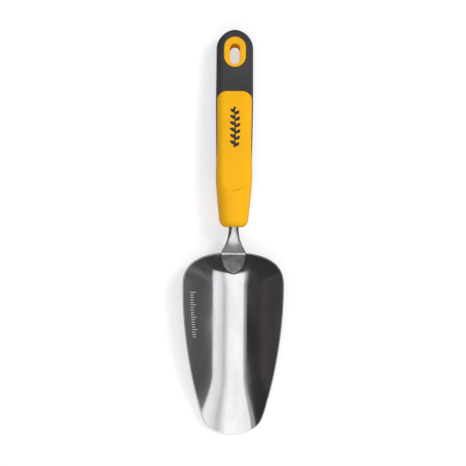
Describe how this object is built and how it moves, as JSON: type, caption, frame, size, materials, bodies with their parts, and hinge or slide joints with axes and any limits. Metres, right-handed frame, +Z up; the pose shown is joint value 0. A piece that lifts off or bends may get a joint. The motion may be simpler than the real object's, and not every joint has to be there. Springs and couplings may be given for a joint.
{
  "type": "hand trowel",
  "caption": "Scoop-shaped polished steel hand trowel on a forged neck, with a yellow and charcoal moulded grip and an oval hanging eyelet.",
  "frame": {"origin": "middle of the whole trowel in X and Y, on the surface it lies on (z = 0)", "axes": "+Z up, out of the scoop and the grip's front; +Y from the blade's tip to the hanging end; +X to the right seen from the front"},
  "size_m": [0.0814, 0.328, 0.0278],
  "materials": {
    "polished_steel": "bright polished stainless sheet",
    "forged_steel": "satin stainless forging",
    "weld_bead": "brushed, slightly darkened weld",
    "core_moulding": "plain rigid moulding, hidden",
    "charcoal_rubber": "soft-touch matt",
    "yellow_moulding": "satin, fine spark-eroded texture",
    "eyelet_moulding": "satin"
  },
  "bodies": {
    "root": {"blade": "polished_steel", "shank": "forged_steel", "shank_weld": "weld_bead", "handle_core": "core_moulding", "grip_back": "charcoal_rubber", "grip_front": "yellow_moulding", "hang_eyelet": "eyelet_moulding"}
  },
  "joints": []
}
